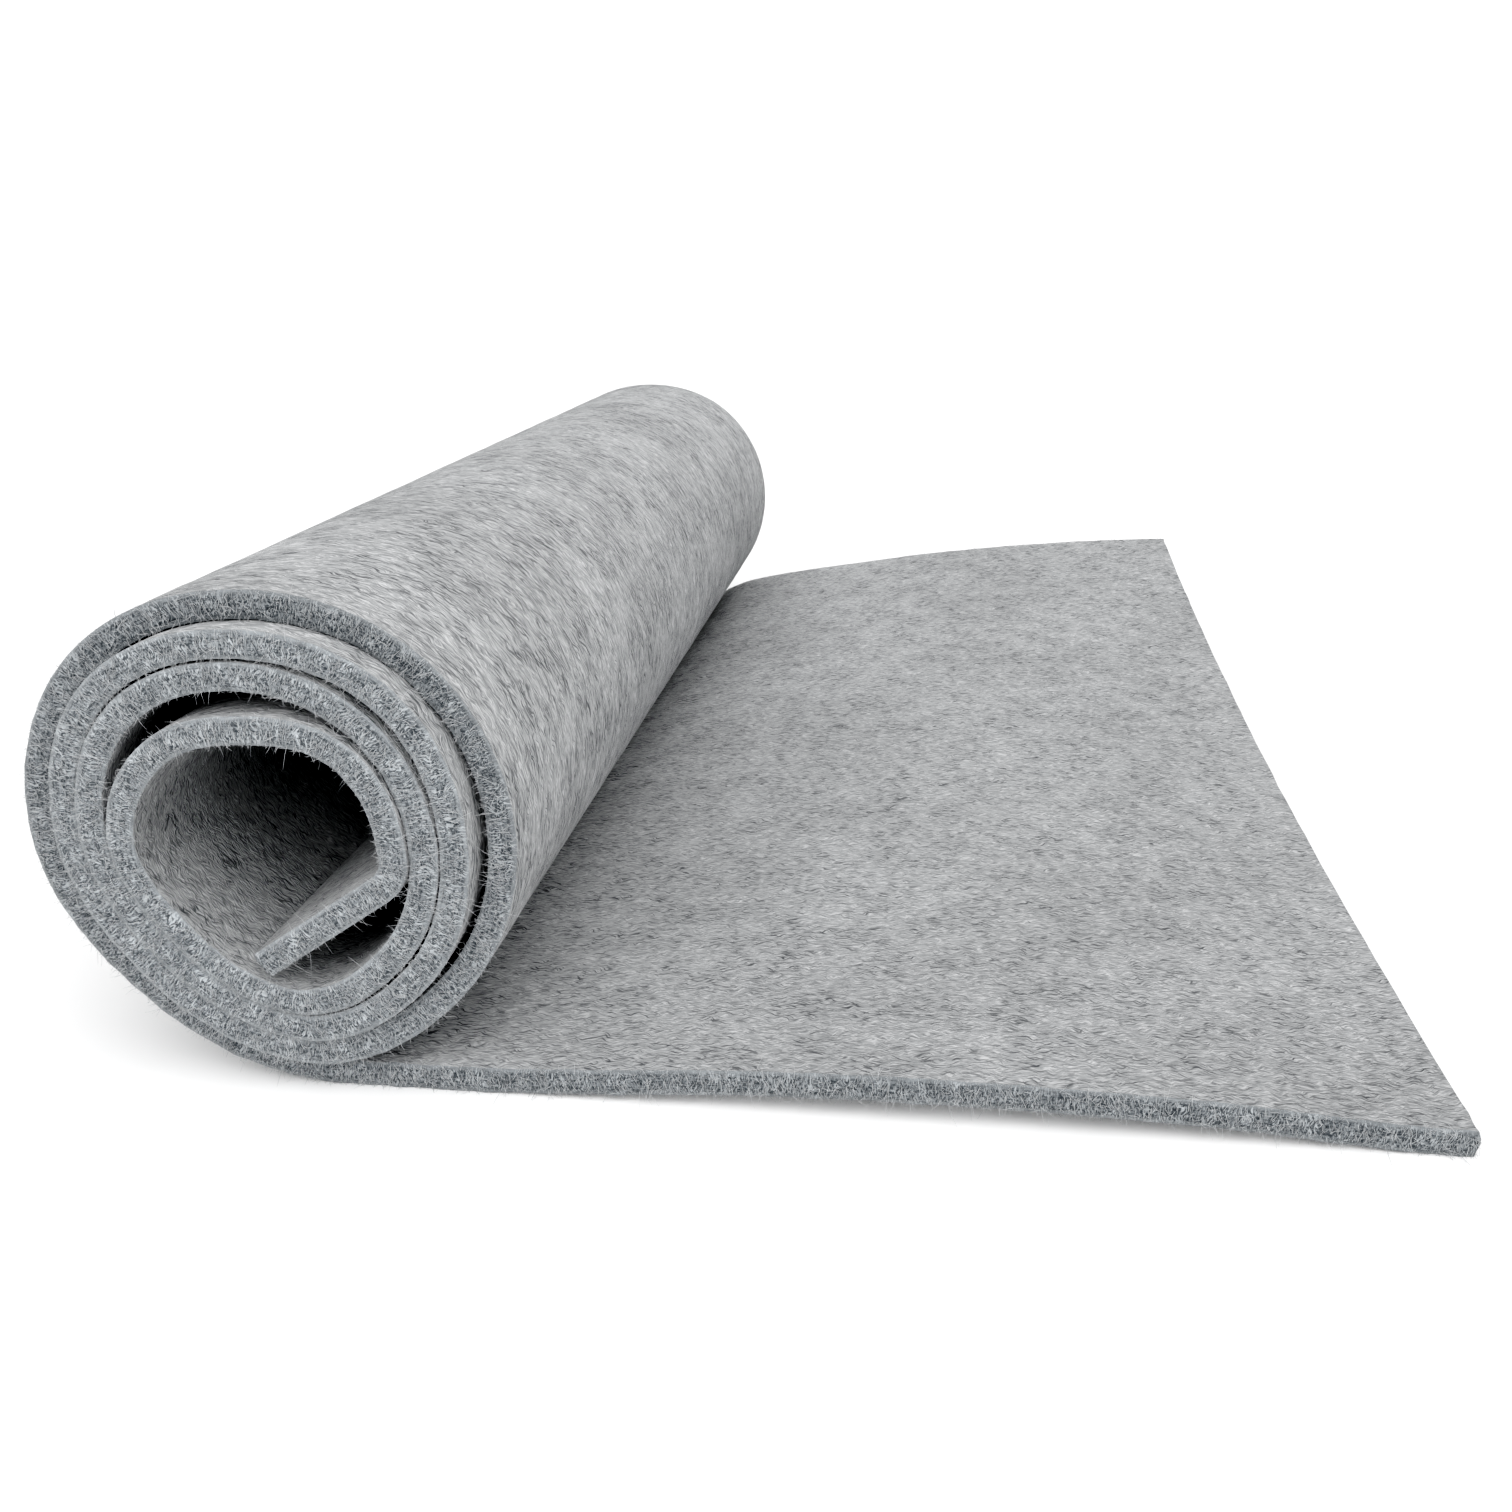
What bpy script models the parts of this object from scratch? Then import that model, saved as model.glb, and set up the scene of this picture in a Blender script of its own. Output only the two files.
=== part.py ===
"""Roll of thick grey felt, partly unrolled.

One cut length of felt is wound clockwise, seen from its near end, into a loose roll. Its outer end
runs out from under the roll and lies on the surface. X follows the loose end, Y follows the roll's
axis away from the near end and Z is up. The origin is on the surface, within the flat
strip that the part rests on. A grid stands for the flat cut sheet. Each of its points is carried to
its place along the wound line, and Solidify gives the sheet its thickness. Lengths along X are
measured from the roll's axis until the last step.
"""

import math
from collections import namedtuple

import bmesh
import bpy

THICKNESS = 0.0047
WIDTH = 0.330

AXIS_X = -0.0145
AXIS_HEIGHT = 0.046
LOOSE_END_X = 0.192
END_SLANT = 0.006
LIFT_OFF_RADIUS = 0.052
LIFT_OFF_ANGLE = math.radians(10.2)
OUTERMOST_CIRCUMFERENCE = 0.255

WOUND_DEGREES = 1349
STRAIGHT_BEFORE_CORNER = 0.0022
CORNER_RADIUS = 0.0060
CORNER_DEGREES = 60
FLAP_LENGTH = 0.0262

STATIONS = 222
ROWS_ACROSS = 6
TRACE_DEGREES = 2
TRACE_STEP = 0.001

FELT_COLOUR = (0.42, 0.43, 0.44, 1.0)
FELT_ROUGHNESS = 0.95

# One row for each direction round the roll, clockwise from straight down as the near end is seen:
# the outermost turn's outer radius, then the gap between each turn and the next one inside it.
Section = namedtuple("Section", "degrees outer_radius gap_1_2 gap_2_3 gap_3_4")
SECTIONS = (
    Section(0, 0.0452, 0.0003, 0.0004, 0.0004),
    Section(45, 0.0400, 0.0003, 0.0003, 0.0004),
    Section(90, 0.0410, 0.0003, 0.0003, 0.0005),
    Section(135, 0.0421, 0.0004, 0.0004, 0.0032),
    Section(180, 0.0407, 0.0003, 0.0006, 0.0038),
    Section(225, 0.0415, 0.0004, 0.0016, 0.0010),
    Section(270, 0.0412, 0.0018, 0.0004, 0.0003),
    Section(315, 0.0409, 0.0008, 0.0005, 0.0003),
    Section(360, 0.0452, 0.0004, 0.0004, 0.0004),
)

# How far the near cut edge stands back along the axis, by turns wound on from the point under the
# axis where the sheet leaves the surface. Negative turns lie on the loose end.
EdgeOffset = namedtuple("EdgeOffset", "turn set_back")
EDGE_OFFSETS = (
    EdgeOffset(-0.75, -0.0010),
    EdgeOffset(0.00, 0.0020),
    EdgeOffset(0.25, 0.0005),
    EdgeOffset(0.50, 0.0030),
    EdgeOffset(0.75, 0.0025),
    EdgeOffset(1.00, -0.0009),
    EdgeOffset(1.25, -0.0007),
    EdgeOffset(1.50, -0.0020),
    EdgeOffset(2.25, -0.0017),
    EdgeOffset(3.75, -0.0026),
)

# How far the loose end stands off the surface along its near and its far cut edge.
Lift = namedtuple("Lift", "x near far")
LIFTS = (
    Lift(0.018, 0.0000, 0.0000),
    Lift(0.023, 0.0000, 0.0032),
    Lift(0.030, 0.0000, 0.0073),
    Lift(0.038, 0.0003, 0.0102),
    Lift(0.055, 0.0012, 0.0136),
    Lift(0.078, 0.0027, 0.0171),
    Lift(0.108, 0.0034, 0.0214),
    Lift(0.150, 0.0026, 0.0254),
    Lift(0.192, 0.0000, 0.0273),
)
LIFT_POWER = 2

Station = namedtuple("Station", "x z turn")


def slopes_of(rows, values):
    """Slope at each row: the chord across its neighbours, and level at both ends."""
    inner = [
        (values[i + 1] - values[i - 1]) / (rows[i + 1][0] - rows[i - 1][0])
        for i in range(1, len(rows) - 1)
    ]
    return [0.0, *inner, 0.0]


def column_at(rows, name, key, slopes=None):
    """The named column at key, on a smooth curve through the rows."""
    values = [getattr(row, name) for row in rows]
    slopes = slopes or slopes_of(rows, values)
    key = min(max(key, rows[0][0]), rows[-1][0])
    i = max(n for n in range(len(rows) - 1) if rows[n][0] <= key)
    span = rows[i + 1][0] - rows[i][0]
    part = (key - rows[i][0]) / span
    rise = values[i + 1] - values[i]
    leave, arrive = slopes[i] * span, slopes[i + 1] * span
    bend = (3 * rise - 2 * leave - arrive) * part**2
    return values[i] + leave * part + bend + (leave + arrive - 2 * rise) * part**3


def gap_inside(turn, direction):
    """Gap between one turn and the next one inside it, counted from 1 at the outermost."""
    return column_at(SECTIONS, f"gap_{turn}_{turn + 1}", direction)


def closed_sections():
    """The sections, with the last row's radius set to where the second turn begins."""
    first, last = SECTIONS[0], SECTIONS[-1]
    second_turn = first.outer_radius - THICKNESS - first.gap_1_2
    return (*SECTIONS[:-1], last._replace(outer_radius=second_turn))


def outer_radius(degrees):
    """Distance from the axis to the sheet's outer face, where it has been wound this far."""
    turn, direction = divmod(degrees, 360)
    rows = closed_sections()
    slopes = slopes_of(rows, [row.outer_radius for row in rows])
    step_in = -rows[0].outer_radius * math.tan(LIFT_OFF_ANGLE) * math.radians(1)
    slopes[0] = slopes[-1] = step_in
    radius = column_at(rows, "outer_radius", direction, slopes)
    for inside in range(1, int(turn) + 1):
        radius -= THICKNESS + gap_inside(inside, direction)
    return radius


def loose_stations():
    """The line along the middle of the thickness, from the free end to under the axis."""
    flat_end = LIFT_OFF_RADIUS * math.sin(LIFT_OFF_ANGLE)
    steps = round((LOOSE_END_X - flat_end) / TRACE_STEP)
    stations = []
    for i in range(steps):
        x = LOOSE_END_X + (flat_end - LOOSE_END_X) * i / steps
        stations.append(Station(x, THICKNESS / 2, -x / OUTERMOST_CIRCUMFERENCE))
    middle_radius = LIFT_OFF_RADIUS - THICKNESS / 2
    arc_steps = 5
    for i in range(arc_steps):
        angle = LIFT_OFF_ANGLE * i / arc_steps
        x = flat_end - middle_radius * math.sin(angle)
        z = LIFT_OFF_RADIUS - middle_radius * math.cos(angle)
        stations.append(Station(x, z, -x / OUTERMOST_CIRCUMFERENCE))
    return stations


def wound_stations():
    """The wound turns, clockwise from under the axis to the corner at the inner end."""
    stations = []
    for degrees in range(0, WOUND_DEGREES + 1, TRACE_DEGREES):
        angle = math.radians(degrees)
        radius = outer_radius(degrees) - THICKNESS / 2
        x = -radius * math.sin(angle)
        z = AXIS_HEIGHT - radius * math.cos(angle)
        stations.append(Station(x, z, degrees / 360))
    return stations


def flap_stations(before, start):
    """The inner end: it turns a tight corner and lies back across the hole."""
    heading = math.atan2(start.z - before.z, start.x - before.x)
    x = start.x + STRAIGHT_BEFORE_CORNER * math.cos(heading)
    z = start.z + STRAIGHT_BEFORE_CORNER * math.sin(heading)
    stations = [Station(x, z, start.turn)]
    corner_steps = 8
    turn_step = math.radians(CORNER_DEGREES) / corner_steps
    stride = 2 * CORNER_RADIUS * math.sin(turn_step / 2)
    for _ in range(corner_steps):
        heading -= turn_step / 2
        x += stride * math.cos(heading)
        z += stride * math.sin(heading)
        heading -= turn_step / 2
        stations.append(Station(x, z, start.turn))
    end_x = x + FLAP_LENGTH * math.cos(heading)
    end_z = z + FLAP_LENGTH * math.sin(heading)
    stations.append(Station(end_x, end_z, start.turn))
    return stations


def traced_line():
    wound = wound_stations()
    return [*loose_stations(), *wound, *flap_stations(wound[-2], wound[-1])]


def lengths_along(line):
    """The length of the sheet from its free end to each station."""
    lengths = [0.0]
    for before, here in zip(line, line[1:]):
        lengths.append(lengths[-1] + math.hypot(here.x - before.x, here.z - before.z))
    return lengths


def station_at(line, lengths, length):
    """The place on the line at this length from the free end."""
    i = max(1, min(len(line) - 1, sum(1 for at in lengths if at < length)))
    part = (length - lengths[i - 1]) / (lengths[i] - lengths[i - 1])
    return Station(*(a + (b - a) * part for a, b in zip(line[i - 1], line[i])))


def lift_of(x, across):
    """Height of the loose end off the surface, across from 0 at the near edge to 1 at the far."""
    near = column_at(LIFTS, "near", x)
    far = column_at(LIFTS, "far", x)
    return max(0.0, near + (far - near) * across**LIFT_POWER)


def place_on_sheet(station, across):
    """Where a point of the cut sheet lies: on its station, and across from 0 near to 1 far."""
    y = WIDTH * (across - 0.5) + column_at(EDGE_OFFSETS, "set_back", station.turn)
    if station.turn > 0:
        return station.x + AXIS_X, y, station.z
    x = station.x * (1 - across * END_SLANT / LOOSE_END_X)
    return x + AXIS_X, y, station.z + lift_of(station.x, across)


def felt_material():
    material = bpy.data.materials.new("grey felt")
    material.use_nodes = True
    shader = material.node_tree.nodes["Principled BSDF"]
    shader.inputs["Base Color"].default_value = FELT_COLOUR
    shader.inputs["Roughness"].default_value = FELT_ROUGHNESS
    shader.inputs["Metallic"].default_value = 0.0
    material.diffuse_color = FELT_COLOUR
    return material


def wound_sheet():
    """The flat sheet as a grid one unit square, with each point then carried along the line."""
    line = traced_line()
    lengths = lengths_along(line)
    stations = [
        station_at(line, lengths, lengths[-1] * i / STATIONS) for i in range(STATIONS + 1)
    ]
    sheet = bmesh.new()
    bmesh.ops.create_grid(sheet, x_segments=STATIONS, y_segments=ROWS_ACROSS, size=0.5)
    for vert in sheet.verts:
        station = stations[round((vert.co.x + 0.5) * STATIONS)]
        vert.co = place_on_sheet(station, vert.co.y + 0.5)
    mesh = bpy.data.meshes.new("felt")
    sheet.to_mesh(mesh)
    sheet.free()
    return mesh


def felt(collection):
    sheet = bpy.data.objects.new("felt", wound_sheet())
    collection.objects.link(sheet)
    thicken = sheet.modifiers.new("thickness", "SOLIDIFY")
    thicken.thickness = THICKNESS
    thicken.offset = 0.0
    sheet.data.materials.append(felt_material())
    sheet.data.shade_smooth()
    return sheet


def clear_scene():
    for obj in list(bpy.data.objects):
        bpy.data.objects.remove(obj, do_unlink=True)


def main():
    clear_scene()
    collection = bpy.data.collections.new("felt roll")
    bpy.context.scene.collection.children.link(collection)
    felt(collection)


main()
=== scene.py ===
"""Looks for a partly unrolled roll of thick grey felt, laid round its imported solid.

The felt is one slab of mesh, made flat and then carried along the wound line that the solid follows.
Loose fibres stand on its cut edges. Laid out as an add-on: a settings group and an operator for the
felt, for its fibres and for the stage, and one panel that lists them.
"""

import math
from collections import namedtuple

import bmesh
import bpy
import numpy as np
from mathutils import Matrix, Vector, noise


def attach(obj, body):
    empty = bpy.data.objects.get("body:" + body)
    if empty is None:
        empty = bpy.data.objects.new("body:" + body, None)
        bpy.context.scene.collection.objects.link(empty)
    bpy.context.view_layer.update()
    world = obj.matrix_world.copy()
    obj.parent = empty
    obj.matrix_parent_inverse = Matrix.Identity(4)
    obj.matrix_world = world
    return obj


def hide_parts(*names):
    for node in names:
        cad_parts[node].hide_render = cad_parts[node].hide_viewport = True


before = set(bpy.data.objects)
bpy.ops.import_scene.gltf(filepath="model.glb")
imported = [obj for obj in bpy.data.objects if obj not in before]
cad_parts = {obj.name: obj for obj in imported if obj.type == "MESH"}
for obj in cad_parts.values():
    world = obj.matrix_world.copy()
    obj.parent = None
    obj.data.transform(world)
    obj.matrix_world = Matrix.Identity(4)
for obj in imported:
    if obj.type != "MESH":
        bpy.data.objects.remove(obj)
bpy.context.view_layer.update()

bl_info = {
    "name": "Roll of felt",
    "version": (1, 0, 0),
    "blender": (4, 5, 0),
    "location": "3D View > Sidebar > Felt",
    "description": "Builds a partly unrolled roll of felt, its loose fibres and a studio stage",
    "category": "Object",
}

MM = 0.001

# ---------------------------------------------------------------- the wound line

THICKNESS = 0.0047
WIDTH = 0.330
AXIS_X = -0.0145
AXIS_HEIGHT = 0.046
LOOSE_END_X = 0.192
END_SLANT = 0.006
LIFT_OFF_RADIUS = 0.052
LIFT_OFF_ANGLE = math.radians(10.2)
OUTERMOST_CIRCUMFERENCE = 0.255
WOUND_DEGREES = 1349
STRAIGHT_BEFORE_CORNER = 0.0022
CORNER_RADIUS = 0.0060
CORNER_DEGREES = 60
FLAP_LENGTH = 0.0262
TRACE_DEGREES = 2
TRACE_STEP = 0.001

# One row for each direction round the roll, clockwise from straight down as the near end is seen:
# the outermost turn's outer radius, then the gap between each turn and the next one inside it.
Section = namedtuple("Section", "degrees outer_radius gap_1_2 gap_2_3 gap_3_4")
SECTIONS = (
    Section(0, 0.0452, 0.0003, 0.0004, 0.0004),
    Section(45, 0.0400, 0.0003, 0.0003, 0.0004),
    Section(90, 0.0410, 0.0003, 0.0003, 0.0005),
    Section(135, 0.0421, 0.0004, 0.0004, 0.0032),
    Section(180, 0.0407, 0.0003, 0.0006, 0.0038),
    Section(225, 0.0415, 0.0004, 0.0016, 0.0010),
    Section(270, 0.0412, 0.0018, 0.0004, 0.0003),
    Section(315, 0.0409, 0.0008, 0.0005, 0.0003),
    Section(360, 0.0452, 0.0004, 0.0004, 0.0004),
)

# How far the near cut edge stands back along the axis, by turns wound on from under the axis.
EdgeOffset = namedtuple("EdgeOffset", "turn set_back")
EDGE_OFFSETS = (
    EdgeOffset(-0.75, -0.0010),
    EdgeOffset(0.00, 0.0020),
    EdgeOffset(0.25, 0.0005),
    EdgeOffset(0.50, 0.0030),
    EdgeOffset(0.75, 0.0025),
    EdgeOffset(1.00, -0.0009),
    EdgeOffset(1.25, -0.0007),
    EdgeOffset(1.50, -0.0020),
    EdgeOffset(2.25, -0.0017),
    EdgeOffset(3.75, -0.0026),
)

# How far the loose end stands off the surface along its near and its far cut edge.
Lift = namedtuple("Lift", "x near far")
LIFTS = (
    Lift(0.018, 0.0000, 0.0000),
    Lift(0.023, 0.0000, 0.0032),
    Lift(0.030, 0.0000, 0.0073),
    Lift(0.038, 0.0003, 0.0102),
    Lift(0.055, 0.0012, 0.0136),
    Lift(0.078, 0.0027, 0.0171),
    Lift(0.108, 0.0034, 0.0214),
    Lift(0.150, 0.0026, 0.0254),
    Lift(0.192, 0.0000, 0.0273),
)
LIFT_POWER = 2

Station = namedtuple("Station", "x z turn")


def slopes_of(rows, values):
    """Slope at each row: the chord across its neighbours, and level at both ends."""
    inner = [
        (values[i + 1] - values[i - 1]) / (rows[i + 1][0] - rows[i - 1][0])
        for i in range(1, len(rows) - 1)
    ]
    return [0.0, *inner, 0.0]


def column_at(rows, name, key, slopes=None):
    """The named column at key, on a smooth curve through the rows."""
    values = [getattr(row, name) for row in rows]
    slopes = slopes or slopes_of(rows, values)
    key = min(max(key, rows[0][0]), rows[-1][0])
    i = max(n for n in range(len(rows) - 1) if rows[n][0] <= key)
    span = rows[i + 1][0] - rows[i][0]
    part = (key - rows[i][0]) / span
    rise = values[i + 1] - values[i]
    leave, arrive = slopes[i] * span, slopes[i + 1] * span
    bend = (3 * rise - 2 * leave - arrive) * part**2
    return values[i] + leave * part + bend + (leave + arrive - 2 * rise) * part**3


def closed_sections():
    """The sections, with the last row's radius set to where the second turn begins."""
    first, last = SECTIONS[0], SECTIONS[-1]
    second_turn = first.outer_radius - THICKNESS - first.gap_1_2
    return (*SECTIONS[:-1], last._replace(outer_radius=second_turn))


def outer_radius(degrees):
    """Distance from the axis to the sheet's outer face, where it has been wound this far."""
    turn, direction = divmod(degrees, 360)
    rows = closed_sections()
    slopes = slopes_of(rows, [row.outer_radius for row in rows])
    step_in = -rows[0].outer_radius * math.tan(LIFT_OFF_ANGLE) * math.radians(1)
    slopes[0] = slopes[-1] = step_in
    radius = column_at(rows, "outer_radius", direction, slopes)
    for inside in range(1, int(turn) + 1):
        gap = column_at(SECTIONS, f"gap_{inside}_{inside + 1}", direction)
        radius -= THICKNESS + gap
    return radius


def loose_stations():
    """The line along the middle of the thickness, from the free end to under the axis."""
    flat_end = LIFT_OFF_RADIUS * math.sin(LIFT_OFF_ANGLE)
    steps = round((LOOSE_END_X - flat_end) / TRACE_STEP)
    stations = []
    for i in range(steps):
        x = LOOSE_END_X + (flat_end - LOOSE_END_X) * i / steps
        stations.append(Station(x, THICKNESS / 2, -x / OUTERMOST_CIRCUMFERENCE))
    middle_radius = LIFT_OFF_RADIUS - THICKNESS / 2
    arc_steps = 5
    for i in range(arc_steps):
        angle = LIFT_OFF_ANGLE * i / arc_steps
        x = flat_end - middle_radius * math.sin(angle)
        z = LIFT_OFF_RADIUS - middle_radius * math.cos(angle)
        stations.append(Station(x, z, -x / OUTERMOST_CIRCUMFERENCE))
    return stations


def wound_stations():
    """The wound turns, clockwise from under the axis to the corner at the inner end."""
    stations = []
    for degrees in range(0, WOUND_DEGREES + 1, TRACE_DEGREES):
        angle = math.radians(degrees)
        radius = outer_radius(degrees) - THICKNESS / 2
        x = -radius * math.sin(angle)
        z = AXIS_HEIGHT - radius * math.cos(angle)
        stations.append(Station(x, z, degrees / 360))
    return stations


def flap_stations(before, start):
    """The inner end: it turns a tight corner and lies back across the hole."""
    heading = math.atan2(start.z - before.z, start.x - before.x)
    x = start.x + STRAIGHT_BEFORE_CORNER * math.cos(heading)
    z = start.z + STRAIGHT_BEFORE_CORNER * math.sin(heading)
    stations = [Station(x, z, start.turn)]
    corner_steps = 8
    turn_step = math.radians(CORNER_DEGREES) / corner_steps
    stride = 2 * CORNER_RADIUS * math.sin(turn_step / 2)
    for _ in range(corner_steps):
        heading -= turn_step / 2
        x += stride * math.cos(heading)
        z += stride * math.sin(heading)
        heading -= turn_step / 2
        stations.append(Station(x, z, start.turn))
    end_x = x + FLAP_LENGTH * math.cos(heading)
    end_z = z + FLAP_LENGTH * math.sin(heading)
    stations.append(Station(end_x, end_z, start.turn))
    return stations


class WoundLine:
    """The wound line, read at any length from the sheet's free end."""

    STEP = 0.0005
    REACH = 0.0008
    REACH_ACROSS = 0.002

    def __init__(self):
        wound = wound_stations()
        line = [*loose_stations(), *wound, *flap_stations(wound[-2], wound[-1])]
        x, z, turn = (np.array(column) for column in zip(*line))
        at = np.concatenate([[0.0], np.cumsum(np.hypot(np.diff(x), np.diff(z)))])
        self.length = float(at[-1])
        self.at = np.linspace(0.0, self.length, round(self.length / self.STEP) + 1)
        self.x = np.interp(self.at, at, x)
        self.z = np.interp(self.at, at, z)
        self.turn = np.interp(self.at, at, turn)
        self.set_back = np.array(
            [column_at(EDGE_OFFSETS, "set_back", float(t)) for t in self.turn]
        )
        loose = self.turn < 0
        self.near = self.lift_column("near", loose)
        self.far = self.lift_column("far", loose)
        self.slant = np.where(loose, self.x * END_SLANT / LOOSE_END_X, 0.0)

    def lift_column(self, name, loose):
        """How far this edge of the loose end stands off the surface, all along the line."""
        return np.array(
            [
                column_at(LIFTS, name, float(x)) if is_loose else 0.0
                for x, is_loose in zip(self.x, loose)
            ]
        )

    def middle(self, length, across):
        """Points in the middle of the thickness, across from 0 near to 1 far."""

        def read(column):
            return np.interp(length, self.at, column)

        x = read(self.x) - across * read(self.slant) + AXIS_X
        y = WIDTH * (across - 0.5) + read(self.set_back)
        near, far = read(self.near), read(self.far)
        lift = near + (far - near) * across**LIFT_POWER
        z = read(self.z) + np.maximum(lift, 0.0)
        return np.stack([x, y, z], axis=-1)

    def frame_at(self, length, across):
        """The middle point, and the directions onward, sideways and inward there."""
        ahead = np.minimum(length + self.REACH, self.length)
        onward = self.middle(ahead, across) - self.middle(ahead - 2 * self.REACH, across)
        over = np.clip(across + self.REACH_ACROSS, 0, 1)
        back = over - 2 * self.REACH_ACROSS
        sideways = self.middle(length, over) - self.middle(length, back)
        onward /= np.linalg.norm(onward, axis=-1, keepdims=True)
        inward = np.cross(sideways, onward)
        inward /= np.linalg.norm(inward, axis=-1, keepdims=True)
        sideways = np.cross(onward, inward)
        return self.middle(length, across), onward, sideways, inward


LINE = WoundLine()

# ---------------------------------------------------------------- settings


class FeltSettings(bpy.types.PropertyGroup):
    stations: bpy.props.IntProperty(
        name="Stations",
        description="Faces along the sheet",
        default=620,
        min=100,
        max=900,
    )
    rows: bpy.props.IntProperty(
        name="Rows", description="Faces across the sheet", default=56, min=8, max=120
    )
    waviness: bpy.props.FloatProperty(
        name="Waviness",
        description="How far the faces rise and fall",
        default=0.00010,
        min=0.0,
        max=0.001,
        precision=5,
        unit="LENGTH",
    )
    raggedness: bpy.props.FloatProperty(
        name="Raggedness",
        description="How far the cut edges wander",
        default=0.00032,
        min=0.0,
        max=0.002,
        precision=5,
        unit="LENGTH",
    )
    edge_round: bpy.props.FloatProperty(
        name="Edge rounding",
        description="How far the corners of the cut edges are drawn in",
        default=0.00035,
        min=0.0,
        max=0.002,
        precision=5,
        unit="LENGTH",
    )
    light: bpy.props.FloatVectorProperty(
        name="Light fibre",
        description="The palest fibre in the mix",
        default=(0.60, 0.605, 0.612),
        subtype="COLOR",
        min=0.0,
        max=1.0,
    )
    middle: bpy.props.FloatVectorProperty(
        name="Middle fibre",
        description="The fibre that most of the felt is made of",
        default=(0.365, 0.373, 0.380),
        subtype="COLOR",
        min=0.0,
        max=1.0,
    )
    dark: bpy.props.FloatVectorProperty(
        name="Dark fibre",
        description="The darkest fibre in the mix",
        default=(0.046, 0.050, 0.055),
        subtype="COLOR",
        min=0.0,
        max=1.0,
    )
    cut_light_and_rim_highlight: bpy.props.FloatVectorProperty(
        name="Cut edge, light",
        description="The palest fibre in the cut edges",
        default=(0.57, 0.605, 0.63),
        subtype="COLOR",
        min=0.0,
        max=1.0,
    )
    cut_middle: bpy.props.FloatVectorProperty(
        name="Cut edge, middle",
        description="The fibre that most of the cut edges show",
        default=(0.235, 0.256, 0.272),
        subtype="COLOR",
        min=0.0,
        max=1.0,
    )
    cut_dark: bpy.props.FloatVectorProperty(
        name="Cut edge, dark",
        description="The darkest fibre in the cut edges",
        default=(0.055, 0.063, 0.070),
        subtype="COLOR",
        min=0.0,
        max=1.0,
    )
    face_bump: bpy.props.FloatProperty(
        name="Face relief",
        description="Strength of the faces' fine relief",
        default=0.55,
        subtype="FACTOR",
        min=0.0,
        max=1.0,
    )
    cut_bump: bpy.props.FloatProperty(
        name="Cut edge relief",
        description="Strength of the cut edges' fine relief",
        default=0.8,
        subtype="FACTOR",
        min=0.0,
        max=1.0,
    )


class FibreSettings(bpy.types.PropertyGroup):
    thickness: bpy.props.FloatProperty(
        name="Fibre thickness",
        description="Diameter of a loose fibre",
        default=0.00007,
        min=0.00002,
        max=0.0005,
        precision=6,
        unit="LENGTH",
    )
    light: bpy.props.FloatVectorProperty(
        name="Pale fibre",
        description="The palest loose fibre",
        default=(0.62, 0.63, 0.64),
        subtype="COLOR",
        min=0.0,
        max=1.0,
    )
    dark: bpy.props.FloatVectorProperty(
        name="Dark fibre",
        description="The darkest loose fibre",
        default=(0.10, 0.11, 0.12),
        subtype="COLOR",
        min=0.0,
        max=1.0,
    )
    seed: bpy.props.IntProperty(
        name="Seed", description="Changes which way each fibre lies", default=11
    )


class StageSettings(bpy.types.PropertyGroup):
    surroundings: bpy.props.FloatProperty(
        name="Surroundings",
        description="Strength of the even light from all round",
        default=0.55,
        min=0.0,
        max=5.0,
    )
    overhead: bpy.props.FloatProperty(
        name="Overhead",
        description="Strength of the wide lamp overhead",
        default=2.95,
        min=0.0,
        max=20.0,
    )
    lens: bpy.props.FloatProperty(
        name="Lens",
        description="Focal length on a 36 mm sensor",
        default=34.63,
        min=10.0,
        max=200.0,
        unit="CAMERA",
    )
    floor: bpy.props.FloatVectorProperty(
        name="Floor",
        description="Colour of the floor",
        default=(0.93, 0.93, 0.93),
        subtype="COLOR",
        min=0.0,
        max=1.0,
    )


# ---------------------------------------------------------------- materials


def put(tree, kind, inputs=None, **settings):
    """A new node with its settings, and with each input given a value or a link."""
    node = tree.nodes.new(kind)
    for name, value in settings.items():
        setattr(node, name, value)
    for name, value in (inputs or {}).items():
        if isinstance(value, bpy.types.NodeSocket):
            tree.links.new(value, node.inputs[name])
        else:
            node.inputs[name].default_value = value
    return node


def mixed(tree, factor, first, second, blend="MIX"):
    """The first colour turned into the second by the factor, or blended with it."""
    node = put(tree, "ShaderNodeMix", data_type="RGBA", blend_type=blend)
    colours = [socket for socket in node.inputs if socket.type == "RGBA"]
    for socket, value in ((node.inputs[0], factor), (colours[0], first), (colours[1], second)):
        if isinstance(value, bpy.types.NodeSocket):
            tree.links.new(value, socket)
        else:
            socket.default_value = value
    return next(socket for socket in node.outputs if socket.type == "RGBA")


def ramped(tree, value, low, high, to_low=0.0, to_high=1.0):
    """The value drawn out smoothly so that low and high land on to_low and to_high."""
    inputs = {
        "Value": value,
        "From Min": low,
        "From Max": high,
        "To Min": to_low,
        "To Max": to_high,
    }
    return put(
        tree, "ShaderNodeMapRange", inputs, interpolation_type="SMOOTHSTEP"
    ).outputs["Result"]


def maths(tree, operation, first, second=0.0):
    """One sum on two values or links."""
    return put(tree, "ShaderNodeMath", {0: first, 1: second}, operation=operation).outputs[0]


def new_group(name, inputs, outputs):
    """An empty node group, with the sockets that its nodes read and the ones they fill."""
    group = bpy.data.node_groups.new(name, "ShaderNodeTree")
    for label, kind in inputs:
        group.interface.new_socket(label, in_out="INPUT", socket_type=kind)
    for label, kind in outputs:
        group.interface.new_socket(label, in_out="OUTPUT", socket_type=kind)
    entry = group.nodes.new("NodeGroupInput")
    leave = group.nodes.new("NodeGroupOutput")
    return group, entry.outputs, leave.inputs


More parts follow.
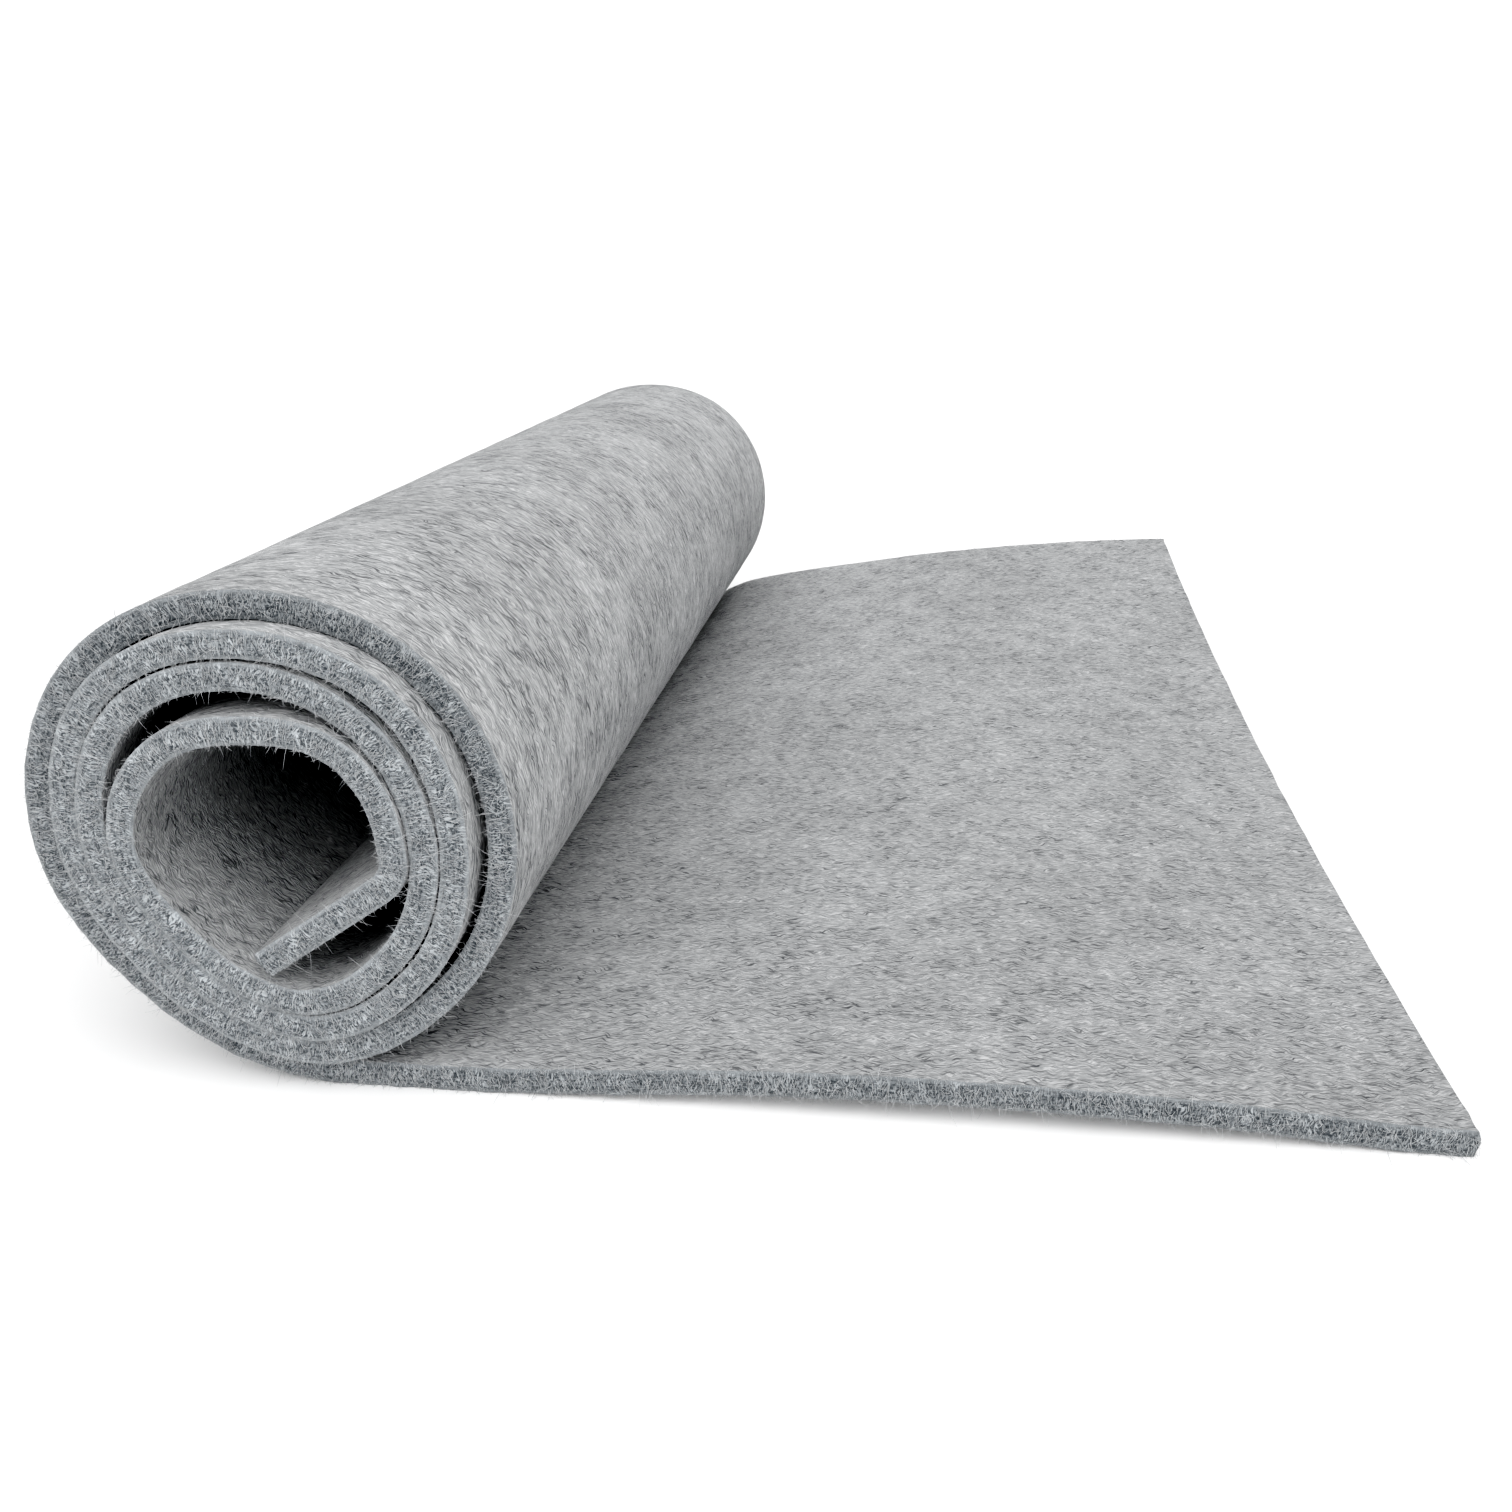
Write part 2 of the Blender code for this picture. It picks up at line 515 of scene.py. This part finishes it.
def streak_group():
    """Drawn-out noise, like fibres lying mostly one way. Sizes are in millimetres."""
    group, given, result = new_group(
        "fibre streaks",
        [
            ("Place", "NodeSocketVector"),
            ("Turn", "NodeSocketFloat"),
            ("Size", "NodeSocketVector"),
            ("Detail", "NodeSocketFloat"),
        ],
        [("Streaks", "NodeSocketFloat")],
    )
    bend = put(
        group, "ShaderNodeTexNoise", {"Vector": given["Place"], "Scale": 0.30, "Detail": 1.0}
    )
    shift = put(
        group,
        "ShaderNodeVectorMath",
        {0: bend.outputs["Color"], 1: (2.6, 2.6, 0.0), 2: given["Place"]},
        operation="MULTIPLY_ADD",
    )
    turned = put(
        group,
        "ShaderNodeVectorRotate",
        {"Vector": shift.outputs[0], "Angle": given["Turn"]},
        rotation_type="Z_AXIS",
    )
    shrunk = put(
        group,
        "ShaderNodeVectorMath",
        {0: turned.outputs[0], 1: given["Size"]},
        operation="DIVIDE",
    )
    grain = put(
        group,
        "ShaderNodeTexNoise",
        {"Vector": shrunk.outputs[0], "Scale": 1.0, "Detail": given["Detail"]},
    )
    group.links.new(grain.outputs["Fac"], result["Streaks"])
    return group


def streaks(tree, place, turn, size, detail=1.0):
    """The streak group placed in another, turned in degrees and sized in millimetres."""
    node = put(tree, "ShaderNodeGroup", node_tree=bpy.data.node_groups["fibre streaks"])
    tree.links.new(place, node.inputs["Place"])
    node.inputs["Turn"].default_value = math.radians(turn)
    node.inputs["Size"].default_value = size
    node.inputs["Detail"].default_value = detail
    return node.outputs["Streaks"]


def cloud_of(tree, place, size, detail=2.0):
    """Soft even noise of this size in millimetres."""
    inputs = {"Vector": place, "Scale": 1 / size, "Detail": detail}
    return put(tree, "ShaderNodeTexNoise", inputs).outputs["Fac"]


def product(tree, first, *others):
    """All of the values multiplied together."""
    for other in others:
        first = maths(tree, "MULTIPLY", first, other)
    return first


# What both kinds of felt surface are given, and what they give back.
FELT_INPUTS = (
    ("Place", "NodeSocketVector"),
    ("Light", "NodeSocketColor"),
    ("Middle", "NodeSocketColor"),
    ("Dark", "NodeSocketColor"),
)
FELT_OUTPUTS = (("Color", "NodeSocketColor"), ("Height", "NodeSocketFloat"))

# Painted light and shade, not the felt's own colour: the inner face is made darker and the outer
# face, the lit top of the roll, lighter; the cut edge is made darker along the loose end, up to the
# first length in millimetres, than on the wound turns, past the second.
INNER_AND_OUTER_PAINTED_LIGHT = (0.90, 1.03)
CUT_PAINTED_SHADE_CHANGES_MM = (330.0, 460.0)
LOOSE_AND_WOUND_PAINTED_SHADE = (0.69, 0.89)


def shaded(tree, colour, shade):
    """The colour made darker or lighter by a value."""
    grey = put(tree, "ShaderNodeCombineColor", {0: shade, 1: shade, 2: shade})
    return mixed(tree, 1.0, colour, grey.outputs[0], "MULTIPLY")


def heather_group():
    """The mixed fibres of the sheet's faces, with painted light that makes the inner face darker and
    the outer face lighter, as a colour and a height.
    """
    group, given, result = new_group("heather", FELT_INPUTS, FELT_OUTPUTS)
    place = given["Place"]
    dark_a = streaks(group, place, 17, (3.9, 0.38, 3.0))
    dark_b = streaks(group, place, -21, (3.3, 0.34, 3.0))
    dark_c = streaks(group, place, -3, (2.2, 0.30, 3.0))
    pale_a = streaks(group, place, 24, (2.6, 0.30, 2.0))
    pale_b = streaks(group, place, -9, (1.7, 0.30, 2.0))
    patch = cloud_of(group, place, 9.0)
    wide = cloud_of(group, place, 45.0)
    pale = maths(
        group, "MAXIMUM", ramped(group, pale_a, 0.50, 0.66), ramped(group, pale_b, 0.50, 0.66)
    )
    pale = product(group, pale, ramped(group, patch, 0.40, 0.62, 0.65, 1.0))
    colour = mixed(group, pale, given["Middle"], given["Light"])
    flecks = maths(
        group, "MAXIMUM", ramped(group, dark_a, 0.53, 0.70), ramped(group, dark_b, 0.53, 0.70)
    )
    flecks = maths(group, "MAXIMUM", flecks, ramped(group, dark_c, 0.55, 0.72))
    flecks = product(group, flecks, ramped(group, patch, 0.62, 0.38, 0.55, 0.92))
    colour = mixed(group, flecks, colour, given["Dark"])
    depth = put(group, "ShaderNodeSeparateXYZ", {"Vector": place}).outputs["Z"]
    # Painted light: the inner face is made darker and the outer face, the lit top of the roll,
    # lighter.
    painted_light_by_face = ramped(group, depth, 1.0, THICKNESS / MM - 1.0, *INNER_AND_OUTER_PAINTED_LIGHT)
    shade = product(group, ramped(group, wide, 0.35, 0.65, 0.93, 1.05), painted_light_by_face)
    group.links.new(shaded(group, colour, shade), result["Color"])
    height = maths(group, "ADD", pale_a, pale_b)
    group.links.new(height, result["Height"])
    return group


def cut_group():
    """The cut edge: fibres drawn through the thickness and the layers between them, with a painted
    highlight along both rims and painted shade along the loose end.
    """
    group, given, result = new_group("cut fibres", FELT_INPUTS, FELT_OUTPUTS)
    place = given["Place"]
    through = streaks(group, place, 0, (0.26, 0.26, 1.7))
    thin = streaks(group, place, 0, (0.22, 0.22, 0.8))
    speck = streaks(group, place, 0, (0.42, 0.42, 0.36))
    layer = streaks(group, place, 0, (2.2, 2.2, 0.28))
    patch = cloud_of(group, place, 3.0)
    height_up = put(group, "ShaderNodeSeparateXYZ", {"Vector": place}).outputs["Z"]
    from_middle = maths(group, "ABSOLUTE", maths(group, "SUBTRACT", height_up, THICKNESS / MM / 2))
    # Painted highlight: the cut edge is made lighter along both rims, where its rounded corners
    # catch the light.
    rim = ramped(group, from_middle, 1.35, 2.30)
    layers = ramped(group, layer, 0.42, 0.56, 0.25, 1.0)
    colour = mixed(group, layers, given["Dark"], given["Middle"])
    inside = ramped(group, rim, 1.0, 0.0)
    specks = product(group, ramped(group, speck, 0.50, 0.62, 0.0, 0.85), inside)
    colour = mixed(group, specks, colour, given["Dark"])
    fine = maths(
        group, "MAXIMUM", ramped(group, through, 0.53, 0.64), ramped(group, thin, 0.56, 0.66)
    )
    fine = product(group, fine, ramped(group, patch, 0.38, 0.62, 0.45, 1.0))
    # Painted highlight: the rim band is mixed in towards the pale colour, along with the pale
    # fibres.
    fine = maths(group, "MAXIMUM", fine, product(group, rim, 0.45))
    colour = mixed(group, fine, colour, given["Light"])
    along = put(group, "ShaderNodeSeparateXYZ", {"Vector": place}).outputs["X"]
    # Painted shade: the cut edge is made darker along the loose end than on the wound turns.
    shade = ramped(group, along, *CUT_PAINTED_SHADE_CHANGES_MM, *LOOSE_AND_WOUND_PAINTED_SHADE)
    group.links.new(shaded(group, colour, shade), result["Color"])
    height = maths(group, "ADD", through, product(group, layer, 0.6))
    group.links.new(height, result["Height"])
    return group


RELIEF_DEPTH = 0.0006


def matt_material(name, **finish):
    """A new material, its shader set to this finish, with its node tree and shader."""
    material = bpy.data.materials.new(name)
    material.use_nodes = True
    shader = material.node_tree.nodes["Principled BSDF"]
    for label, value in finish.items():
        shader.inputs[label.replace("_", " ")].default_value = value
    return material, material.node_tree, shader


def felt_material(name, group, light, middle, dark, relief):
    """Matt felt, coloured by one of the groups."""
    material, tree, shader = matt_material(
        name, Roughness=0.95, Specular_IOR_Level=0.15, Sheen_Weight=0.12, Sheen_Roughness=0.6
    )
    place = put(tree, "ShaderNodeAttribute", attribute_name="on_sheet_mm").outputs["Vector"]
    fibres = put(tree, "ShaderNodeGroup", node_tree=group)
    tree.links.new(place, fibres.inputs["Place"])
    for label, colour in (("Light", light), ("Middle", middle), ("Dark", dark)):
        fibres.inputs[label].default_value = (*colour, 1.0)
    tree.links.new(fibres.outputs["Color"], shader.inputs["Base Color"])
    raised = put(
        tree,
        "ShaderNodeBump",
        {"Strength": relief, "Distance": RELIEF_DEPTH, "Height": fibres.outputs["Height"]},
    )
    tree.links.new(raised.outputs["Normal"], shader.inputs["Normal"])
    return material


def fibre_material(name, light, dark):
    """Loose fibres, mostly pale with some dark ones among them."""
    material, tree, shader = matt_material(name, Roughness=0.8, Specular_IOR_Level=0.2)
    shade = put(tree, "ShaderNodeAttribute", attribute_name="fibre_shade").outputs["Fac"]
    colour = mixed(tree, shade, (*dark, 1.0), (*light, 1.0))
    tree.links.new(colour, shader.inputs["Base Color"])
    return material


# ---------------------------------------------------------------- the felt


# Lengths in from a cut edge at which the slab's lines stand, before they are evenly spaced.
LINES_BY_THE_SIDES = (0.0, 0.0006, 0.0015, 0.0030, 0.0052, 0.0085)
LINES_BY_THE_ENDS = (0.0, 0.0006, 0.0015, 0.0028, 0.0044)


def line_places(whole, lines, faces):
    """Where the lines stand along the whole width or length, closer together at both edges."""
    *edge, first = lines
    edge = np.array(edge)
    inner = np.linspace(first, whole - first, faces + 1 - 2 * len(edge))
    return np.concatenate([edge, inner, whole - edge[::-1]])


def flat_slab(stations, rows):
    """A closed slab, a unit each way, with three lines of points round its sides."""
    slab = bmesh.new()
    bmesh.ops.create_grid(slab, x_segments=stations, y_segments=rows, size=0.5)
    raised = bmesh.ops.extrude_face_region(slab, geom=slab.faces[:], use_keep_orig=True)
    points = [item for item in raised["geom"] if isinstance(item, bmesh.types.BMVert)]
    bmesh.ops.translate(slab, verts=points, vec=(0, 0, 1))
    upright = [
        edge for edge in slab.edges if abs(edge.verts[0].co.z - edge.verts[1].co.z) > 0.5
    ]
    bmesh.ops.subdivide_edges(slab, edges=upright, cuts=3, use_grid_fill=True)
    bmesh.ops.recalc_face_normals(slab, faces=slab.faces[:])
    return slab


def wandering(a, b, c, size):
    """Smooth seeded noise from -1 to 1 at a place given in metres."""
    return noise.noise(Vector((a / size, b / size, c / size)))


# How far each line of points round the sides is drawn in, as a share of the edge rounding.
DRAWN_IN = (1.0, 0.12, 0.0, 0.12, 1.0)


def lay_felt(settings):
    """The slab, with each point carried to its place along the wound line."""
    slab = flat_slab(settings.stations, settings.rows)
    lengths = line_places(LINE.length, LINES_BY_THE_ENDS, settings.stations)
    across = line_places(WIDTH, LINES_BY_THE_SIDES, settings.rows) / WIDTH
    layers = len(DRAWN_IN) - 1
    count = len(slab.verts)
    at, over, up = np.zeros(count), np.zeros(count), np.zeros(count)
    side_in, end_in, on_side = np.zeros(count), np.zeros(count), np.zeros(count, bool)
    slab.verts.index_update()
    for vert in slab.verts:
        i = round((vert.co.x + 0.5) * settings.stations)
        j = round((vert.co.y + 0.5) * settings.rows)
        k = round(vert.co.z * layers)
        at[vert.index], over[vert.index] = lengths[i], across[j]
        up[vert.index] = k / layers
        drawn = settings.edge_round * DRAWN_IN[k]
        if j in (0, settings.rows):
            ragged = settings.raggedness * (
                wandering(lengths[i], k * 0.002, j, 0.0042)
                + 0.7 * wandering(lengths[i], k * 0.001, j + 7, 0.0017)
            )
            side_in[vert.index] = (drawn + ragged) * (1 if j == 0 else -1)
        if i in (0, settings.stations):
            ragged = settings.raggedness * wandering(across[j] * WIDTH, k * 0.002, i, 0.004)
            end_in[vert.index] = (drawn + ragged) * (1 if i == 0 else -1)
        on_side[vert.index] = j in (0, settings.rows) or i in (0, settings.stations)
    middle, _, _, inward = LINE.frame_at(at + end_in, over + side_in / WIDTH)
    rise = np.array(
        [
            wandering(a, b * WIDTH, u * 5, 0.011) + 0.6 * wandering(a, b * WIDTH, u * 5, 0.004)
            for a, b, u in zip(at, over, up)
        ]
    )
    rise = np.where(on_side, 0.0, rise) * settings.waviness
    height = (0.5 - up) * THICKNESS + rise * np.sign(0.5 - up)
    places = middle + inward * height[:, None]
    flat = np.stack([at, over * WIDTH, up * THICKNESS], axis=-1) / MM
    layer = slab.verts.layers.float_vector.new("on_sheet_mm")
    for vert in slab.verts:
        vert.co = places[vert.index]
        vert[layer] = flat[vert.index]
    for face in slab.faces:
        face.smooth = True
        face.material_index = int(all(on_side[vert.index] for vert in face.verts))
    bmesh.ops.recalc_face_normals(slab, faces=slab.faces[:])
    mesh = bpy.data.meshes.new("felt_sheet")
    slab.to_mesh(mesh)
    slab.free()
    return mesh


def shown(name, mesh):
    """The mesh as a piece of the roll."""
    piece = bpy.data.objects.new(name, mesh)
    bpy.context.scene.collection.objects.link(piece)
    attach(piece, "root")
    return piece


class FELT_OT_sheet(bpy.types.Operator):
    """Lays the felt along its wound line"""

    bl_idname = "felt.sheet"
    bl_label = "Felt sheet"

    def execute(self, context):
        settings = context.scene.felt_settings
        streak_group()
        face = felt_material(
            "felt face",
            heather_group(),
            tuple(settings.light),
            tuple(settings.middle),
            tuple(settings.dark),
            settings.face_bump,
        )
        cut = felt_material(
            "felt cut edge",
            cut_group(),
            tuple(settings.cut_light_and_rim_highlight),
            tuple(settings.cut_middle),
            tuple(settings.cut_dark),
            settings.cut_bump,
        )
        piece = shown("felt_sheet", lay_felt(settings))
        piece.data.materials.append(face)
        piece.data.materials.append(cut)
        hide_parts("felt")
        return {"FINISHED"}


# ---------------------------------------------------------------- loose fibres

# One row for each lot of fibres: how many, where along the sheet they stand, as lengths from the
# free end, on which cut edge (0 near, 1 far), how far in from it, how deep their roots sink, between
# which shares of the thickness, and their length. The last three say how far they stand out of the
# cut, lean towards the faces and lean along the sheet.
Lot = namedtuple("Lot", "name count start stop edge inset sink low high long out lean along")
LOTS = (
    Lot("fuzz_near_rim", 9500, 0.175, 0.968, 0, 0.0003, 0.0002, 0.0, 1.0, 0.00045, 0.6, 0.9, 1.0),
    Lot("fuzz_near_loose", 3000, 0.000, 0.200, 0, 0.0003, 0.0002, 0.0, 1.0, 0.00045, 0.6, 0.8, 1.0),
    Lot("fuzz_far_rim", 7000, 0.000, 0.968, 1, 0.0003, 0.0002, 0.0, 1.0, 0.00045, 0.6, 0.9, 1.0),
    Lot("across_cut", 9500, 0.000, 0.968, 0, 0.0, -0.0001, 0.1, 0.9, 0.0012, 0.10, 1.0, 0.22),
    Lot("strays", 500, 0.000, 0.968, 0, 0.0010, 0.0002, 0.0, 1.0, 0.0013, 0.6, 0.9, 1.2),
)
TAPER = (1.0, 0.8, 0.35)
POINTS_ON_FIBRE = len(TAPER)
CROWDED_TO_RIMS = 0.35
LENGTHS_VARY = 0.45
LONGEST = 2.0
CURL = 0.4
CLEAR_OF_SURFACE = 0.00005


def lot_paths(lot, chance):
    """The points of every fibre in the lot, and how pale each one is."""
    at = chance.uniform(lot.start, min(lot.stop, LINE.length), lot.count)
    inset = np.abs(chance.normal(0.0, lot.inset, lot.count))
    across = np.abs(lot.edge - inset / WIDTH)
    middle, onward, sideways, inward = LINE.frame_at(at, across)
    away = -sideways if lot.edge == 0 else sideways
    height = chance.uniform(lot.low, lot.high, lot.count) - 0.5
    on_rims = lot.low == 0.0
    if on_rims:
        height = 0.5 * np.sign(height) * np.abs(2 * height) ** CROWDED_TO_RIMS
    root = middle + inward * (height * THICKNESS)[:, None]
    lean = chance.normal(0.0, lot.lean, lot.count)
    if on_rims:
        lean = np.abs(lean) * np.sign(height)
    heading = (
        away * np.abs(chance.normal(lot.out, 0.35 * lot.out + 0.02, lot.count))[:, None]
        + inward * lean[:, None]
        + onward * chance.normal(0.0, lot.along, lot.count)[:, None]
    )
    heading /= np.linalg.norm(heading, axis=-1, keepdims=True)
    times = np.exp(chance.normal(0.0, LENGTHS_VARY, lot.count))
    length = lot.long * np.minimum(times, LONGEST)
    curl = chance.normal(0.0, CURL, (lot.count, 3))
    points = [root - away * lot.sink]
    for step in range(1, POINTS_ON_FIBRE):
        part = step / (POINTS_ON_FIBRE - 1)
        bent = heading + curl * part
        points.append(points[0] + bent * (length * part)[:, None])
    pale = np.clip(chance.normal(0.72, 0.25, lot.count), 0.0, 1.0)
    return np.stack(points, axis=1), pale


def fibre_mesh(lot, thickness, chance):
    """The lot as thin tapered tubes, each with its own shade."""
    points, pale = lot_paths(lot, chance)
    points[..., 2] = np.maximum(points[..., 2], CLEAR_OF_SURFACE)
    curve = bpy.data.curves.new(lot.name, "CURVE")
    curve.dimensions = "3D"
    curve.bevel_depth = thickness / 2
    curve.bevel_resolution = 0
    curve.use_fill_caps = True
    for path in points:
        spline = curve.splines.new("POLY")
        spline.points.add(POINTS_ON_FIBRE - 1)
        with_weight = np.concatenate([path, np.ones((POINTS_ON_FIBRE, 1))], axis=1)
        spline.points.foreach_set("co", with_weight.ravel())
        spline.points.foreach_set("radius", np.array(TAPER))
    strand = bpy.data.objects.new(lot.name, curve)
    mesh = bpy.data.meshes.new_from_object(strand)
    bpy.data.objects.remove(strand)
    mesh.name = lot.name
    each = len(mesh.vertices) // lot.count
    shade = mesh.attributes.new("fibre_shade", "FLOAT", "POINT")
    shade.data.foreach_set("value", np.repeat(pale, each))
    return mesh


class FELT_OT_fibres(bpy.types.Operator):
    """Stands loose fibres on the cut edges"""

    bl_idname = "felt.fibres"
    bl_label = "Loose fibres"

    def execute(self, context):
        settings = context.scene.fibre_settings
        chance = np.random.default_rng(settings.seed)
        light, dark = tuple(settings.light), tuple(settings.dark)
        material = fibre_material("loose fibre", light, dark)
        for lot in LOTS:
            piece = shown(lot.name, fibre_mesh(lot, settings.thickness, chance))
            piece.data.materials.clear()
            piece.data.materials.append(material)
        return {"FINISHED"}


# ---------------------------------------------------------------- stage

CAMERA_PLACE = (0.0933, -0.3695, 0.1361)
CAMERA_LEFT = math.radians(7.63)
CAMERA_DOWN = math.radians(19.56)
CAMERA_ROLL = math.radians(1.11)
SENSOR_MM = 36
FLOOR_HALF_WIDTH = 15
LAMP_WIDTH = math.radians(80)
LAMP_AIM = (-0.14, 0.76, -1.0)
BACKGROUND_SEEN = 1.1


def add_camera(settings):
    """The camera, turned left, tipped down and rolled from looking along +Y."""
    data = bpy.data.cameras.new("camera")
    data.sensor_width = SENSOR_MM
    data.lens = settings.lens
    data.clip_start = 0.01
    camera = bpy.data.objects.new("camera", data)
    camera.matrix_world = (
        Matrix.Translation(CAMERA_PLACE)
        @ Matrix.Rotation(CAMERA_LEFT, 4, "Z")
        @ Matrix.Rotation(math.pi / 2 - CAMERA_DOWN, 4, "X")
        @ Matrix.Rotation(-CAMERA_ROLL, 4, "Z")
    )
    bpy.context.scene.collection.objects.link(camera)
    bpy.context.scene.camera = camera


def add_floor(colour):
    """A pale floor, far wider than the view."""
    plane = bmesh.new()
    bmesh.ops.create_grid(plane, x_segments=1, y_segments=1, size=FLOOR_HALF_WIDTH)
    mesh = bpy.data.meshes.new("floor")
    plane.to_mesh(mesh)
    plane.free()
    material, _, _ = matt_material(
        "pale floor", Base_Color=(*colour, 1.0), Roughness=0.9, Specular_IOR_Level=0.1
    )
    mesh.materials.append(material)
    floor = bpy.data.objects.new("floor", mesh)
    bpy.context.scene.collection.objects.link(floor)


def add_sun(settings):
    """One very wide lamp, high up in front."""
    data = bpy.data.lights.new("overhead", "SUN")
    data.energy = settings.overhead
    data.angle = LAMP_WIDTH
    lamp = bpy.data.objects.new("overhead", data)
    lamp.rotation_euler = Vector(LAMP_AIM).to_track_quat("-Z", "Y").to_euler()
    bpy.context.scene.collection.objects.link(lamp)


def add_surroundings(strength):
    """Even light from all round, in front of a white background."""
    world = bpy.data.worlds.new("studio")
    world.use_nodes = True
    tree = world.node_tree
    background = tree.nodes["Background"]
    background.inputs["Color"].default_value = (1.0, 1.0, 1.0, 1.0)
    seen = put(tree, "ShaderNodeLightPath").outputs["Is Camera Ray"]
    levels = {"Value": seen, "To Min": strength, "To Max": BACKGROUND_SEEN}
    level = put(tree, "ShaderNodeMapRange", levels)
    tree.links.new(level.outputs["Result"], background.inputs["Strength"])
    bpy.context.scene.world = world


# The tone curve: full light and mid tones stay as they are, and deep shadow goes darker.
TONE = ((0.0, 0.0), (0.04, 0.006), (0.13, 0.105), (0.25, 0.25), (1.0, 1.0))
COMBINED_CURVE = 3


def set_tone(view):
    """Shows the colours plainly, through the tone curve."""
    view.view_transform = "Standard"
    view.use_curve_mapping = True
    curve = view.curve_mapping.curves[COMBINED_CURVE]
    for shadow, level in TONE[1:-1]:
        curve.points.new(shadow, level)
    view.curve_mapping.update()


class FELT_OT_stage(bpy.types.Operator):
    """Adds the floor, the lights and the camera"""

    bl_idname = "felt.stage"
    bl_label = "Stage"

    def execute(self, context):
        settings = context.scene.stage_settings
        add_camera(settings)
        add_floor(tuple(settings.floor))
        add_surroundings(settings.surroundings)
        add_sun(settings)
        set_tone(context.scene.view_settings)
        return {"FINISHED"}


class FELT_PT_panel(bpy.types.Panel):
    """Lists the roll's operators and their settings"""

    bl_label = "Roll of felt"
    bl_space_type = "VIEW_3D"
    bl_region_type = "UI"
    bl_category = "Felt"

    def draw(self, context):
        scene = context.scene
        for operator, group in (
            (FELT_OT_sheet, scene.felt_settings),
            (FELT_OT_fibres, scene.fibre_settings),
            (FELT_OT_stage, scene.stage_settings),
        ):
            box = self.layout.box()
            box.operator(operator.bl_idname)
            for name in group.__annotations__:
                box.prop(group, name)


GROUPS = (
    ("felt_settings", FeltSettings),
    ("fibre_settings", FibreSettings),
    ("stage_settings", StageSettings),
)
OPERATORS = (FELT_OT_stage, FELT_OT_sheet, FELT_OT_fibres)


def register():
    for name, group in GROUPS:
        bpy.utils.register_class(group)
        setattr(bpy.types.Scene, name, bpy.props.PointerProperty(type=group))
    for item in (*OPERATORS, FELT_PT_panel):
        bpy.utils.register_class(item)


def unregister():
    for item in (FELT_PT_panel, *reversed(OPERATORS)):
        bpy.utils.unregister_class(item)
    for name, group in reversed(GROUPS):
        delattr(bpy.types.Scene, name)
        bpy.utils.unregister_class(group)


def main():
    register()
    bpy.ops.felt.stage()
    bpy.ops.felt.sheet()
    bpy.ops.felt.fibres()


if __name__ == "__main__":
    main()
